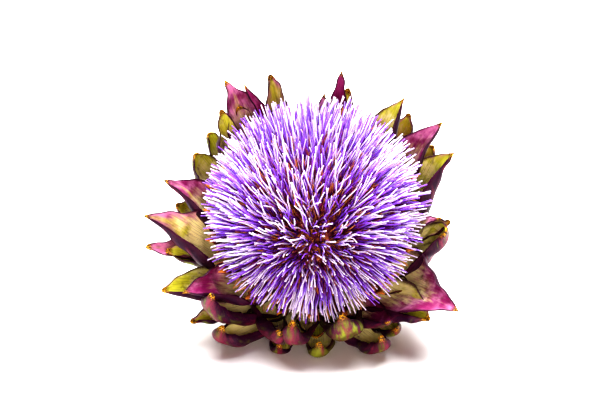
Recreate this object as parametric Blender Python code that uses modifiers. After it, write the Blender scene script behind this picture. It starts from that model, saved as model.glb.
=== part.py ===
"""A globe artichoke in flower, cut from its plant and lying on a surface.

The head is modelled in its own frame and then laid down: +Z runs from the cut stem to the top of the
flower, +Y is up and +X is right for someone looking into the open flower. A place on the head is given by
its distance from that axis, its clock angle in degrees (0 up, 90 right, 180 down) and its height along the
axis, measured from where the stem meets the heart. Lengths are in metres and angles in degrees.

Two solids make the head. The bracts, the heart that they grow from and the stub of the stem are one body.
The florets stand out of a dome of their own, which sits on the heart inside the bracts.
"""

import math
import random
from collections import namedtuple

import bmesh
import bpy
import numpy as np
from mathutils import Vector
from mathutils.bvhtree import BVHTree
from mathutils.geometry import delaunay_2d_cdt

# How the head lies.
AXIS_RISE = 42.0  # how far the flower looks up from level
HEAD_AT = (0.0051, 0.0256, 0.0260)  # where the stem meets the heart
FLOOR_PLAY = 0.0025  # how far above the floor a bract starts to bend away from it
FLAT_DEPTH = 0.0007  # how deep the lowest bracts and the stem's edge are pressed flat

# The cut stem and the heart.
HEART_TOP = 0.0190
HEART_RADIUS = 0.0310
STEM_RADIUS = 0.0095
STEM_CUT = -0.0287
HEART_STEPS = 20

# The bracts. Each whorl has the radius and height of its roots, their lean from the axis and their thickness.
Whorl = namedtuple("Whorl", "radius height lean thickness")
WHORLS = {
    "basal": Whorl(0.0120, 0.0015, 92, 0.0032),
    "lower": Whorl(0.0200, 0.0050, 88, 0.0032),
    "middle": Whorl(0.0260, 0.0090, 84, 0.0032),
    "upper": Whorl(0.0280, 0.0125, 82, 0.0030),
    "inner": Whorl(0.0285, 0.0155, 77, 0.0024),
    "papery": Whorl(0.0290, 0.0175, 72, 0.0016),
}
MARGIN_SHARE = 0.5  # a bract's thickness at its margins as a share of that at its midrib
TIP_THICKNESS = 0.0012
WIDEST_AT = 0.45  # share of a bract's length at which it is widest
ROOT_SHARE = 0.62  # a root's width as a share of the widest
ROOT_HANDLE = 0.44  # share of a bract's reach over which it keeps its root's direction
TIP_HANDLE = 0.36

# Each kind of tip: how the width falls off towards it, and its last half width.
Tip = namedtuple("Tip", "bow fall half_width")
TIPS = {
    "spined": Tip(1.5, 1.15, 0.0008),
    "blunt": Tip(2.6, 0.90, 0.0022),
    "papery": Tip(1.3, 1.10, 0.0006),
}

# One bract: its whorl and kind of tip, the clock angle of its root and of its tip, the tip's distance from
# the axis and height, the bract's width, the tip's lean from the axis, how far its margins fold in, and its
# twist.
Bract = namedtuple("Bract", "whorl tip root_clock tip_clock radius height width lean cup twist")
UPPER_BRACTS = [
    Bract("inner", "spined", 15, 12, 0.0640, 0.056, 0.019, 40, 60, 0),
    Bract("inner", "spined", 0, 6, 0.0520, 0.056, 0.016, 34, 50, 0),
    Bract("upper", "spined", 42, 39, 0.0650, 0.054, 0.028, 48, 44, 20),
    Bract("upper", "spined", 60, 56, 0.0695, 0.054, 0.029, 56, 50, 10),
    Bract("upper", "spined", 86, 67, 0.0680, 0.048, 0.041, 34, 62, 20),
    Bract("inner", "spined", 99, 97, 0.0560, 0.056, 0.016, 50, 60, 0),
    Bract("upper", "spined", 120, 128, 0.0785, 0.055, 0.037, 62, 46, -8),
    Bract("middle", "blunt", 139, 134, 0.0700, 0.043, 0.030, 50, 66, -6),
    Bract("inner", "spined", 156, 148, 0.0610, 0.052, 0.022, 6, 60, 12),
    Bract("lower", "blunt", 161, 166, 0.0505, 0.055, 0.028, -75, 72, 6),
    Bract("lower", "blunt", 184, 189, 0.0520, 0.053, 0.021, -75, 72, 0),
    Bract("middle", "blunt", 216, 194, 0.0565, 0.048, 0.022, -22, 74, 16),
    Bract("lower", "blunt", 206, 226, 0.0580, 0.055, 0.024, -50, 76, -10),
    Bract("inner", "spined", 226, 234, 0.0680, 0.054, 0.029, 60, 50, 14),
    Bract("upper", "spined", 254, 266, 0.0730, 0.054, 0.034, 62, 62, 26),
    Bract("upper", "spined", 277, 280, 0.0655, 0.054, 0.028, 56, 46, -8),
    Bract("upper", "blunt", 298, 318, 0.0605, 0.053, 0.020, 20, 60, 0),
    Bract("upper", "spined", 324, 327, 0.0715, 0.052, 0.035, 54, 40, -16),
    Bract("inner", "spined", 352, 333, 0.0670, 0.048, 0.016, 58, 80, -20),
]
OUTER_BRACTS = [
    Bract("middle", "blunt", 19, 15, 0.0635, 0.040, 0.017, 34, 66, 0),
    Bract("middle", "blunt", 46, 42, 0.0655, 0.040, 0.018, 0, 66, 0),
    Bract("middle", "blunt", 66, 58, 0.0640, 0.038, 0.017, 0, 68, 0),
    Bract("lower", "blunt", 85, 92, 0.0610, 0.038, 0.015, 24, 66, 0),
    Bract("middle", "blunt", 112, 99, 0.0585, 0.046, 0.030, -16, 60, 16),
    Bract("middle", "blunt", 126, 125, 0.0700, 0.038, 0.020, 44, 66, 0),
    Bract("lower", "blunt", 142, 143, 0.0610, 0.032, 0.019, -10, 62, 0),
    Bract("lower", "blunt", 166, 152, 0.0620, 0.041, 0.021, -60, 76, 6),
    Bract("basal", "blunt", 173, 177, 0.0560, 0.036, 0.020, -60, 60, 0),
    Bract("basal", "blunt", 195, 194, 0.0575, 0.033, 0.017, -46, 60, 0),
    Bract("lower", "blunt", 198, 217, 0.0630, 0.041, 0.022, -60, 76, -6),
    Bract("lower", "blunt", 220, 229, 0.0700, 0.030, 0.017, 40, 66, 0),
    Bract("middle", "blunt", 232, 241, 0.0740, 0.044, 0.024, 50, 80, 16),
    Bract("middle", "blunt", 255, 258, 0.0740, 0.042, 0.015, 56, 66, 0),
    Bract("lower", "blunt", 250, 256, 0.0660, 0.038, 0.022, 44, 66, 0),
    Bract("middle", "blunt", 276, 275, 0.0600, 0.040, 0.018, 0, 66, 0),
    Bract("middle", "blunt", 297, 300, 0.0600, 0.038, 0.019, -20, 66, 0),
    Bract("lower", "blunt", 310, 311, 0.0610, 0.038, 0.017, -10, 66, 0),
    Bract("middle", "blunt", 317, 327, 0.0600, 0.044, 0.020, -10, 66, 0),
    Bract("middle", "blunt", 346, 344, 0.0690, 0.044, 0.015, 34, 66, 0),
]
# Short bracts cover the underside of the heart, in two whorls.
LOWER_CLOCKS = (2, 31, 54, 74, 110, 125, 160, 178, 207, 270, 289, 334)
LOWER_TIP = (0.0520, 0.0270)
LOWER_FORM = (0.022, 30, 52, 0)  # width, lean, cup and twist
BASAL_COUNT = 10
BASAL_TIP = (0.0360, 0.0110)
BASAL_FORM = (0.018, 56, 46, 0)
# Narrow papery bracts stand between the rest and the florets.
PAPERY_COUNT = 20
PAPERY_TIP = (0.0510, 0.0450)
PAPERY_WIDTH, PAPERY_CUP = 0.0090, 40
PAPERY_LEAN, PAPERY_LEAN_BELOW = 58.0, 16.0  # those at the bottom lean less by the second of these,
PAPERY_REACH_BELOW = 0.003  # and their tips are nearer the axis by this
CLOCK_PLAY, REACH_PLAY, LEAN_PLAY = 4.0, 0.0018, 7.0

# How many strips a bract is made of along and across, and on the small ones.
STRIPS = (5, 4)
FEW_STRIPS = (3, 2)
SHARE_KEPT = 0.77  # of the faces, after joining, which leaves slivers where bracts cross

# The florets. The dome that they stand out of is about two thirds of the brush's radius.
DOME_FOOT = HEART_TOP + 0.0004
DOME_FOOT_RADIUS = 0.0255
DOME_CENTRE = 0.0380
DOME_RADIUS, DOME_RISE = 0.0345, 0.0240
BRUSH_CENTRE = 0.0440
BRUSH_RADIUS, BRUSH_RISE = 0.0510, 0.0400
BRUSH_REACH_ABOVE = 0.0035  # how much wider the brush is at its top
FLORET_ROOTS = 160
SPIRAL_SHARE = 0.965  # of the disc's radius, inside the ring of roots round its edge
RIM_ROOTS = 2.6  # for each unit of the square root of the number of florets inside
DOME_SPAN = 98.0  # the dome's florets reach this far from its pole
BRUSH_LEAN = 82.0  # the outermost florets' tips lie this far from the axis,
BRUSH_DROOP = 8.0  # and this much further at the bottom, where they hang over the bracts
FLORET_RINGS = ((0.16, 0.00130), (0.62, 0.00125), (1.0, 0.00080))  # share of length, radius
HALFWAY_RINGS = ((0.40, 0.00130), (0.80, 0.00110))
START_LEAN = 50.0  # the outermost florets start out of the dome at this lean
BEND_SHARE = 0.45  # share of its length over which a floret keeps the way it starts
FLORET_PLAY = 0.0011
CLEARANCE = 0.0008  # between a floret and a bract
CLEARING_STEP, CLEARING_STEPS = 2.0, 16  # how far and how often a floret is turned in to the axis for it
SEED = 7


def outward(clock):
    """The direction away from the axis at a clock angle."""
    angle = np.radians(np.asarray(clock, float))
    return np.stack([np.sin(angle), np.cos(angle), np.zeros_like(angle)], axis=-1)


def sideways(clock):
    """The direction round the axis at a clock angle, clockwise."""
    angle = np.radians(np.asarray(clock, float))
    return np.stack([np.cos(angle), -np.sin(angle), np.zeros_like(angle)], axis=-1)


def place(radius, clock, height):
    return radius * outward(clock) + np.array([0.0, 0.0, height])


def leaning(clock, lean):
    """The direction that leans this far from the axis, towards a clock angle."""
    along = np.array([0.0, 0.0, math.cos(math.radians(lean))])
    return math.sin(math.radians(lean)) * outward(clock) + along


def unit(vectors):
    return vectors / np.linalg.norm(vectors, axis=-1, keepdims=True)


def smooth(values):
    values = np.clip(values, 0, 1)
    return values * values * (3 - 2 * values)


def cubic(handles, share):
    """Points and directions along the cubic curve with these four control points."""
    p0, p1, p2, p3 = handles
    s = share[:, None]
    points = (1 - s) ** 3 * p0 + 3 * (1 - s) ** 2 * s * p1 + 3 * (1 - s) * s**2 * p2 + s**3 * p3
    slope = (1 - s) ** 2 * (p1 - p0) + 2 * (1 - s) * s * (p2 - p1) + s**2 * (p3 - p2)
    return points, unit(slope)


def floor_up():
    """The direction straight up from the floor, in the head's own frame."""
    rise = math.radians(AXIS_RISE)
    return np.array([0.0, math.cos(rise), math.sin(rise)])


def above_floor(points):
    return HEAD_AT[2] + points @ floor_up()


def lifted(points, least):
    """The points raised off the floor: none ends below the least height, and they ease into it."""
    over = above_floor(points) - least
    eased = np.where(over > FLOOR_PLAY, over, FLOOR_PLAY * np.exp(np.minimum(over / FLOOR_PLAY - 1, 0)))
    return points + (eased - over)[:, None] * floor_up()


def bract_half_width(bract, along):
    tip = TIPS[bract.tip]
    swell = ROOT_SHARE + (1 - ROOT_SHARE) * np.sin(np.clip(along / WIDEST_AT, 0, 1) * math.pi / 2)
    past = np.clip((along - WIDEST_AT) / (1 - WIDEST_AT), 0, 1)
    fall = (1 - past**tip.bow) ** tip.fall
    return np.maximum(bract.width / 2 * swell * fall, tip.half_width)


def bract_thickness(bract, along, across):
    midrib = WHORLS[bract.whorl].thickness
    return (midrib + (TIP_THICKNESS - midrib) * along**1.5) * (1 - (1 - MARGIN_SHARE) * across**2)


def bract_midrib(bract, along):
    """The points of a bract's midrib, and there the directions ahead, to its side and in to the axis."""
    whorl = WHORLS[bract.whorl]
    root = place(whorl.radius, bract.root_clock, whorl.height)
    tip = place(bract.radius, bract.tip_clock, bract.height)
    reach = np.linalg.norm(tip - root)
    from_root = ROOT_HANDLE * reach * leaning(bract.root_clock, whorl.lean)
    to_tip = TIP_HANDLE * reach * leaning(bract.tip_clock, bract.lean)
    points, ahead = cubic([root, root + from_root, tip - to_tip, tip], along)
    turn = (bract.tip_clock - bract.root_clock + 180) % 360 - 180
    side = sideways(bract.root_clock + turn * along)
    side = unit(side - np.sum(side * ahead, axis=1, keepdims=True) * ahead)
    inward = np.cross(side, ahead)
    twist = np.radians(bract.twist * along)[:, None]
    return (
        points,
        side * np.cos(twist) + inward * np.sin(twist),
        inward * np.cos(twist) - side * np.sin(twist),
    )


def bract_surface(bract, along, across):
    """The points halfway through a bract, for shares of its length and places across from -1 to 1."""
    midrib, side, inward = bract_midrib(bract, along)
    half = bract_half_width(bract, along)
    wrap = bract.width / 2 / WHORLS[bract.whorl].radius
    fold = wrap + (math.radians(bract.cup) - wrap) * smooth(along / WIDEST_AT)
    angle = fold * across
    sideward, rise = half / fold * np.sin(angle), half / fold * (1 - np.cos(angle))
    points = midrib + sideward[:, None] * side + rise[:, None] * inward
    return lifted(points, bract_thickness(bract, along, across) / 2 - FLAT_DEPTH)


def make_bract(name, bract, strips, pieces):
    """One bract, as a folded sheet made solid."""
    sheet = bmesh.new()
    bmesh.ops.create_grid(sheet, x_segments=strips[1], y_segments=strips[0], size=1)
    grid = np.array([vert.co for vert in sheet.verts])
    across, along = grid[:, 0], (grid[:, 1] + 1) / 2
    points = bract_surface(bract, along, across)
    for vert, point in zip(sheet.verts, points):
        vert.co = point
    bmesh.ops.triangulate(sheet, faces=sheet.faces)
    mesh = bpy.data.meshes.new(name)
    sheet.to_mesh(mesh)
    sheet.free()
    made = bpy.data.objects.new(name, mesh)
    pieces.objects.link(made)
    thickness = bract_thickness(bract, along, across)
    group = made.vertex_groups.new(name="thickness")
    for i, share in enumerate(thickness / thickness.max()):
        group.add([i], share, "REPLACE")
    solid = made.modifiers.new("solid", "SOLIDIFY")
    solid.thickness = thickness.max()
    solid.offset = 0
    solid.vertex_group = "thickness"
    made.data = bpy.data.meshes.new_from_object(made.evaluated_get(bpy.context.evaluated_depsgraph_get()))
    made.modifiers.clear()
    made.vertex_groups.clear()


def press_flat(mesh):
    """Cut off what reaches under the floor, which leaves the flat spots that the head rests on."""
    solid = bmesh.new()
    solid.from_mesh(mesh)
    everything = [*solid.verts, *solid.edges, *solid.faces]
    bmesh.ops.bisect_plane(
        solid,
        geom=everything,
        plane_co=-HEAD_AT[2] * floor_up(),
        plane_no=floor_up(),
        clear_inner=True,
    )
    bmesh.ops.holes_fill(solid, edges=[edge for edge in solid.edges if edge.is_boundary])
    solid.to_mesh(mesh)
    solid.free()


def new_material(name, colour, roughness):
    material = bpy.data.materials.new(name)
    material.use_nodes = True
    shader = material.node_tree.nodes["Principled BSDF"]
    shader.inputs["Base Color"].default_value = (*colour, 1)
    shader.inputs["Roughness"].default_value = roughness
    shader.inputs["Metallic"].default_value = 0
    return material


def heart_profile():
    """The outer side of the heart and the stem, from the top of the heart down to the cut."""
    return [
        (0.0, HEART_TOP),
        (HEART_RADIUS - 0.0030, HEART_TOP),
        (HEART_RADIUS - 0.0008, HEART_TOP - 0.0018),
        (HEART_RADIUS, HEART_TOP - 0.0055),
        (HEART_RADIUS - 0.0025, 0.0080),
        (HEART_RADIUS * 0.76, 0.0035),
        (HEART_RADIUS * 0.50, 0.0005),
        (STEM_RADIUS * 1.12, -0.0025),
        (STEM_RADIUS - 0.0004, -0.0060),
        (STEM_RADIUS, STEM_CUT),
        (0.0, STEM_CUT),
    ]


def make_heart(parts):
    """The heart and the stub of the stem, as a profile turned about the axis."""
    mesh = bpy.data.meshes.new("bracts_on_heart")
    corners = [(radius, 0.0, height) for radius, height in heart_profile()]
    mesh.from_pydata(corners, [(i, i + 1) for i in range(len(corners) - 1)], [])
    heart = bpy.data.objects.new("bracts_on_heart", mesh)
    parts.objects.link(heart)
    turned = heart.modifiers.new("turned", "SCREW")
    turned.axis = "Z"
    turned.steps = turned.render_steps = HEART_STEPS
    turned.use_merge_vertices = True
    turned.merge_threshold = 0.0001
    return heart


def short_bracts(draw):
    """The bracts of the underside, and the papery ones between the rest and the florets."""
    found = []
    for clock in LOWER_CLOCKS:
        radius, height = LOWER_TIP
        radius += draw.uniform(-REACH_PLAY, REACH_PLAY)
        found.append(Bract("lower", "blunt", clock, clock, radius, height, *LOWER_FORM))
    for i in range(BASAL_COUNT):
        clock = 360 * i / BASAL_COUNT + draw.uniform(-CLOCK_PLAY, CLOCK_PLAY)
        radius, height = BASAL_TIP
        radius += draw.uniform(-REACH_PLAY, REACH_PLAY)
        found.append(Bract("basal", "blunt", clock, clock, radius, height, *BASAL_FORM))
    for i in range(PAPERY_COUNT):
        clock = 360 * i / PAPERY_COUNT + draw.uniform(-CLOCK_PLAY, CLOCK_PLAY)
        below = (1 - math.cos(math.radians(clock))) / 2
        radius, height = PAPERY_TIP
        radius += draw.uniform(-REACH_PLAY, REACH_PLAY) - PAPERY_REACH_BELOW * below
        lean = PAPERY_LEAN - PAPERY_LEAN_BELOW * below + draw.uniform(-LEAN_PLAY, LEAN_PLAY)
        form = (PAPERY_WIDTH, lean, PAPERY_CUP, 0)
        found.append(Bract("papery", "papery", clock, clock, radius, height, *form))
    return found


def untie(solid):
    """Where two pairs of triangles share one diagonal by chance, turn the diagonal of one pair."""
    for edge in [edge for edge in solid.edges if len(edge.link_faces) > 2]:
        face, *others = edge.link_faces
        twin = max(others, key=lambda other: face.normal.dot(other.normal))
        a, b, c = (loop.vert for loop in face.loops)
        while c in edge.verts:
            a, b, c = b, c, a
        d = next(vert for vert in twin.verts if vert not in edge.verts)
        bmesh.ops.delete(solid, geom=[face, twin], context="FACES_ONLY")
        solid.faces.new((c, a, d))
        solid.faces.new((c, d, b))


def keep_one_body(mesh):
    """Keep the largest closed surface, which fills the hollows that joining sealed and drops loose scraps."""
    solid = bmesh.new()
    solid.from_mesh(mesh)
    bmesh.ops.triangulate(solid, faces=solid.faces)
    untie(solid)
    bodies, waiting = [], set(solid.faces)
    while waiting:
        body, spread = set(), [waiting.pop()]
        while spread:
            face = spread.pop()
            body.add(face)
            near = {other for edge in face.edges for other in edge.link_faces} & waiting
            waiting -= near
            spread += near
        bodies.append(body)
    largest = max(bodies, key=len)
    loose = [face for body in bodies if body is not largest for face in body]
    bmesh.ops.delete(solid, geom=loose, context="FACES")
    solid.to_mesh(mesh)
    solid.free()


def make_bracts_on_heart(parts, pieces, head):
    """Every bract, joined to the heart in one body."""
    draw = random.Random(SEED)
    for i, bract in enumerate(UPPER_BRACTS + OUTER_BRACTS):
        make_bract(f"bract_{i}", bract, STRIPS, pieces)
    for i, bract in enumerate(short_bracts(draw)):
        make_bract(f"short_bract_{i}", bract, FEW_STRIPS, pieces)
    heart = make_heart(parts)
    join = heart.modifiers.new("grown together", "BOOLEAN")
    join.operation = "UNION"
    join.operand_type = "COLLECTION"
    join.collection = pieces
    join.solver = "EXACT"
    heart.data = bpy.data.meshes.new_from_object(heart.evaluated_get(bpy.context.evaluated_depsgraph_get()))
    heart.modifiers.clear()
    for piece in list(pieces.objects):
        bpy.data.objects.remove(piece)
    keep_one_body(heart.data)
    thin = heart.modifiers.new("fewer slivers", "DECIMATE")
    thin.ratio = SHARE_KEPT
    heart.data = bpy.data.meshes.new_from_object(heart.evaluated_get(bpy.context.evaluated_depsgraph_get()))
    heart.modifiers.clear()
    press_flat(heart.data)
    heart.data.materials.clear()
    heart.data.materials.append(new_material("plum bract", (0.23, 0.05, 0.14), 0.45))
    heart.parent = head
    return heart


def sunflower(count):
    """Points of the unit disc in the spiral order of a flower head, with a ring of points round its edge."""
    turn = math.pi * (3 - math.sqrt(5))
    inside = [(math.sqrt((i + 0.5) / count) * SPIRAL_SHARE, i * turn) for i in range(count)]
    rim = round(RIM_ROOTS * math.sqrt(count))
    edge = [(1.0, 2 * math.pi * i / rim) for i in range(rim)]
    return [Vector((r * math.sin(a), r * math.cos(a))) for r, a in inside + edge]


def share_and_clock(point):
    return min(point.length, 1.0), math.degrees(math.atan2(point.x, point.y))


def on_dome(point):
    """The place on the florets' dome of a point of the unit disc."""
    share, clock = share_and_clock(point)
    slope = math.acos(1 - (1 - math.cos(math.radians(DOME_SPAN))) * share**2)
    return place(DOME_RADIUS * math.sin(slope), clock, DOME_CENTRE + DOME_RISE * math.cos(slope))


def floret_tip(point, turned_in):
    """Where the floret that grows at this point of the disc ends, on the brush's outer surface."""
    share, clock = share_and_clock(point)
    below = (1 - math.cos(math.radians(clock))) / 2
    lean = (BRUSH_LEAN + BRUSH_DROOP * below**2) * share - turned_in
    reach = BRUSH_RADIUS + BRUSH_REACH_ABOVE * (1 - below) ** 2
    return leaning(clock, lean) * np.array([reach, reach, BRUSH_RISE]) + (0, 0, BRUSH_CENTRE)


def floret_at(root, bend, tip, along):
    """The place and the direction of a floret's middle line, part of the way along."""
    at = (1 - along) ** 2 * root + 2 * (1 - along) * along * bend + along**2 * tip
    return at, unit((1 - along) * (bend - root) + along * (tip - bend))


def is_clear(root, bend, tip, bracts):
    """Whether a floret keeps clear of the bracts."""
    for along, radius in FLORET_RINGS[1:] + HALFWAY_RINGS:
        at = Vector(floret_at(root, bend, tip, along)[0])
        if bracts.find_nearest(at)[3] < radius + CLEARANCE:
            return False
    return True


def floret_path(root, site, play, bracts):
    """A floret's middle line from its root: it is turned in to the axis until it clears the bracts."""
    share, clock = share_and_clock(site)
    for step in range(CLEARING_STEPS):
        turned_in = step * CLEARING_STEP
        tip = floret_tip(site, turned_in) + play
        start = leaning(clock, START_LEAN * share - turned_in)
        bend = root + start * BEND_SHARE * np.linalg.norm(tip - root)
        if is_clear(root, bend, tip, bracts):
            break
    return root, bend, tip


def make_dome(points):
    """The closed dome, with a triangle for each floret and a foot on the heart."""
    flat, edges, cells = delaunay_2d_cdt(points, [], [], 0, 1e-6)[:3]
    dome = bmesh.new()
    number = dome.faces.layers.int.new("floret")
    verts = [dome.verts.new(on_dome(point)) for point in flat]
    florets = [dome.faces.new([verts[i] for i in cell]) for cell in cells]
    for i, floret in enumerate(florets):
        floret[number] = i
    sites = [sum((flat[i] for i in cell), Vector((0, 0))) / 3 for cell in cells]
    rim = [edge for edge in dome.edges if edge.is_boundary]
    skirt = bmesh.ops.extrude_edge_only(dome, edges=rim)["geom"]
    for vert in (item for item in skirt if isinstance(item, bmesh.types.BMVert)):
        shrink = DOME_FOOT_RADIUS / math.hypot(vert.co.x, vert.co.y)
        vert.co = (vert.co.x * shrink, vert.co.y * shrink, DOME_FOOT)
    bmesh.ops.holes_fill(dome, edges=[edge for edge in dome.edges if edge.is_boundary])
    bmesh.ops.recalc_face_normals(dome, faces=dome.faces)
    return dome, florets, sites


def make_florets(parts, head, bracts):
    """The florets, drawn out one by one from the triangles of their dome and bent clear of the bracts."""
    draw = random.Random(SEED)
    bracts.data.calc_loop_triangles()
    triangles = [tri.vertices for tri in bracts.data.loop_triangles]
    barrier = BVHTree.FromPolygons([vert.co for vert in bracts.data.vertices], triangles)
    dome, faces, sites = make_dome(sunflower(FLORET_ROOTS))
    florets = []
    for face, site in zip(faces, sites):
        root = np.array(face.calc_center_median())
        play = [draw.uniform(-FLORET_PLAY, FLORET_PLAY) for _ in range(3)]
        path = floret_path(root, site, play, barrier)
        florets.append((path, np.array([vert.co for vert in face.verts]) - root))
    for along, radius in FLORET_RINGS:
        faces = bmesh.ops.extrude_discrete_faces(dome, faces=faces)["faces"]
        number = dome.faces.layers.int["floret"]
        for face in faces:
            path, corners = florets[face[number]]
            at, ahead = floret_at(*path, along)
            spread = unit(corners - (corners @ ahead)[:, None] * ahead)
            for vert, way in zip(face.verts, spread):
                vert.co = at + way * radius
    mesh = bpy.data.meshes.new("florets")
    dome.to_mesh(mesh)
    dome.free()
    mesh.materials.append(new_material("violet floret", (0.34, 0.22, 0.72), 0.5))
    florets = bpy.data.objects.new("florets", mesh)
    parts.objects.link(florets)
    florets.parent = head
    return florets


def main():
    for old in list(bpy.data.objects):
        bpy.data.objects.remove(old)
    parts = bpy.data.collections.new("artichoke")
    pieces = bpy.data.collections.new("pieces")
    for collection in (parts, pieces):
        bpy.context.scene.collection.children.link(collection)
    head = bpy.data.objects.new("head_axis", None)
    head.location = HEAD_AT
    head.rotation_euler = (math.radians(90 - AXIS_RISE), 0, 0)
    parts.objects.link(head)
    bracts = make_bracts_on_heart(parts, pieces, head)
    make_florets(parts, head, bracts)
    bpy.data.collections.remove(pieces)


main()
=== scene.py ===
import math
import random
from collections import namedtuple

import bmesh
import bpy
import numpy as np
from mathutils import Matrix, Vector
from mathutils.bvhtree import BVHTree


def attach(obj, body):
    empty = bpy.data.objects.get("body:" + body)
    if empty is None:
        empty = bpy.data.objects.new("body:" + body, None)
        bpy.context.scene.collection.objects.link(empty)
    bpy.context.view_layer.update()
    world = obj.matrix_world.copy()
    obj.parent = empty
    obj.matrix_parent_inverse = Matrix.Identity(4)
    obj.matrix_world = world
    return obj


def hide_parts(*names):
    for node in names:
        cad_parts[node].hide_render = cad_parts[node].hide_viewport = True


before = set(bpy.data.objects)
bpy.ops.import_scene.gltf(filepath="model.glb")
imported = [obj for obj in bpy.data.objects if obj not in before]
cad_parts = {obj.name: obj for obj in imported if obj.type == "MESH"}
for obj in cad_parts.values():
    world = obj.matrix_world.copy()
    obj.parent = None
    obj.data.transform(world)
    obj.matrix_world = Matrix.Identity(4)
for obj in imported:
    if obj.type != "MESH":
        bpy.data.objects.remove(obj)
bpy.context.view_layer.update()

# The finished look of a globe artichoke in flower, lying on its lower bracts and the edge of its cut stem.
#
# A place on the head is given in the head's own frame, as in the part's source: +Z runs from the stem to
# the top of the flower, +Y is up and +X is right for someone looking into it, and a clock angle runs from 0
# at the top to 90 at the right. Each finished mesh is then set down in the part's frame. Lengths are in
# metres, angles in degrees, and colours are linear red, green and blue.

SEED = 7

# ---------------------------------------------------------------- how the head lies
AXIS_RISE = 42.0  # how far the flower looks up from level
HEAD_AT = np.array([0.0051, 0.0256, 0.0260])  # where the stem meets the heart
FLOOR_PLAY = 0.0025  # how far above the floor a bract starts to bend away from it
FLAT_DEPTH = 0.0007  # how deep the lowest bracts are pressed flat
FLOOR_GAP = 0.00002  # nothing on the head is nearer to the floor than this

# ---------------------------------------------------------------- the heart and the stem
HEART_TOP = 0.0190
HEART_RADIUS = 0.0310
STEM_RADIUS = 0.0095
STEM_CUT = -0.0287
CUT_EDGE = 0.0006  # how far back the cut's edge is rounded off
# The outline of both, from the top down: distances from the axis, and heights.
HEART_OUTLINE = [
    (HEART_RADIUS - 0.0030, HEART_TOP),
    (HEART_RADIUS - 0.0008, HEART_TOP - 0.0018),
    (HEART_RADIUS, HEART_TOP - 0.0055),
    (HEART_RADIUS - 0.0025, 0.0080),
    (HEART_RADIUS * 0.76, 0.0035),
    (HEART_RADIUS * 0.50, 0.0005),
    (STEM_RADIUS * 1.12, -0.0025),
    (STEM_RADIUS - 0.0004, -0.0060),
    (STEM_RADIUS - 0.0002, -0.0120),
    (STEM_RADIUS - 0.0001, -0.0180),
    (STEM_RADIUS, STEM_CUT + CUT_EDGE),
]
HEART_ROWS, HEART_SIDES = 70, 96
RIBS, RIB_DEPTH = 13, 0.0007  # round the stem
RIB_DRIFT, RIB_DRIFTS = 0.6, 3  # how far and how often round it their spacing changes
RIBBED_FROM, RIBBED_BY = 0.001, -0.006  # heights at which they start and at which they have their full depth
CUT_RINGS = np.array([0.97, 0.86, 0.70, 0.55, 0.40, 0.26, 0.13])  # shares of the stem's radius
PITH_DEPTH = 0.0005  # how deep the cut's middle has sunk

# ---------------------------------------------------------------- the bracts
# Each whorl has the radius and height of its roots, their lean from the axis and their thickness.
Whorl = namedtuple("Whorl", "radius height lean thickness")
WHORLS = {
    "basal": Whorl(0.0120, 0.0015, 92, 0.0032),
    "lower": Whorl(0.0200, 0.0050, 88, 0.0032),
    "middle": Whorl(0.0260, 0.0090, 84, 0.0032),
    "upper": Whorl(0.0280, 0.0125, 82, 0.0030),
    "inner": Whorl(0.0285, 0.0155, 77, 0.0024),
    "papery": Whorl(0.0290, 0.0175, 72, 0.0016),
}
TIP_THICKNESS = 0.0012
WIDEST_AT = 0.45  # share of a bract's length at which it is widest
ROOT_SHARE = 0.62  # a root's width as a share of the widest
ROOT_HANDLE = 0.44  # share of a bract's reach over which it keeps its root's direction,
TIP_HANDLE = 0.36  # and its tip's

# Each kind of tip: how the width falls off towards it.
Tip = namedtuple("Tip", "bow fall")
TIPS = {
    "spined": Tip(1.5, 1.15),
    "blunt": Tip(2.6, 0.90),
    "papery": Tip(1.3, 1.10),
}

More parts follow.
